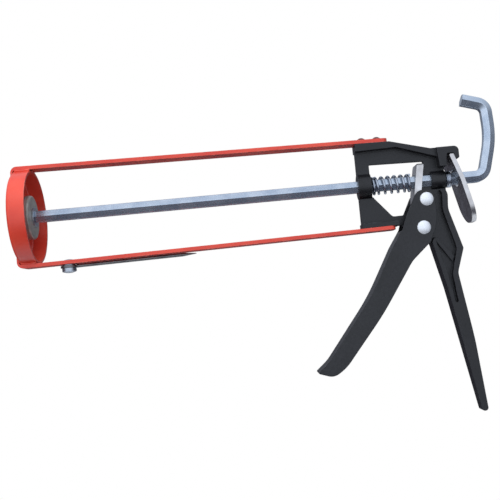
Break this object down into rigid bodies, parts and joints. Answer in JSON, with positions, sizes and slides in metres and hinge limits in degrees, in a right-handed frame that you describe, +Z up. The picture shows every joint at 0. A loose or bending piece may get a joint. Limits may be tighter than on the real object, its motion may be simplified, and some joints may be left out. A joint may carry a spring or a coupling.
{
  "type": "caulking gun",
  "caption": "Skeleton caulking gun: open two-strap frame with a front cup, hexagon push rod with bent hook and plunger disc, cast pistol handle and sprung trigger.",
  "frame": {"origin": "on the push rod's axis, at the inner face of the cup's front plate, where a cartridge's front end seats", "axes": "+X along the push rod from the cup to the hook, +Z up to the top strap, +Y across the frame"},
  "size_m": [0.3156, 0.0608, 0.2047],
  "materials": {
    "red_paint": "satin",
    "black_paint": "satin",
    "zinc_plate": "bright zinc plated",
    "bare_steel": "dull zinc plated",
    "dark_steel": "oil blackened"
  },
  "bodies": {
    "frame": {"front_cup": "red_paint", "top_strap": "red_paint", "bottom_strap": "red_paint", "top_strap_rivets": "zinc_plate", "bottom_strap_rivets": "bare_steel", "handle_casting": "black_paint", "trigger_pivot": "zinc_plate", "drive_spring": "zinc_plate", "release_spring": "zinc_plate", "piercer_washer": "bare_steel", "piercer_rivet": "bare_steel"},
    "plunger": {"plunger_disc": "bare_steel", "plunger_washer": "zinc_plate"},
    "rod": {"push_rod": "zinc_plate", "plunger_nut": "zinc_plate"},
    "trigger": {"trigger": "black_paint", "drive_pin": "zinc_plate"},
    "plate": {"drive_plate": "bare_steel"},
    "lever": {"release_lever": "dark_steel"},
    "piercer": {"seal_piercer": "bare_steel"}
  },
  "joints": [
    {"name": "plunger_slide", "type": "slide", "parent": "frame", "child": "plunger", "axis": [1, 0, 0], "range_m": [0, 0.205]},
    {"name": "rod_turn", "type": "hinge", "parent": "plunger", "child": "rod", "pos_m": [0.3, 0, 0], "axis": [1, 0, 0], "continuous": true},
    {"name": "trigger_pull", "type": "hinge", "parent": "frame", "child": "trigger", "pos_m": [0.2589, 0, -0.0304], "axis": [0, -1, 0], "range_deg": [0, 30], "stiffness_Nm_per_rad": 0.5, "springref_deg": -20.63},
    {"name": "plate_drive", "type": "slide", "parent": "frame", "child": "plate", "axis": [-1, 0, 0], "range_m": [0, 0.0095], "deforming": ["drive_spring"]},
    {"name": "lever_press", "type": "hinge", "parent": "frame", "child": "lever", "pos_m": [0.28045, 0, 0.0138], "axis": [0, 1, 0], "range_deg": [0, 8], "stiffness_Nm_per_rad": 0.6, "springref_deg": -6.88, "deforming": ["release_spring"]},
    {"name": "piercer_swing", "type": "hinge", "parent": "frame", "child": "piercer", "pos_m": [0.02902, 0, -0.0341], "axis": [-0.0138, 0, 0.9999], "range_deg": [0, 180]}
  ],
  "couplings": [
    {"joint": "plate_drive", "follows": "trigger_pull", "m_per_rad": 0.0181}
  ]
}
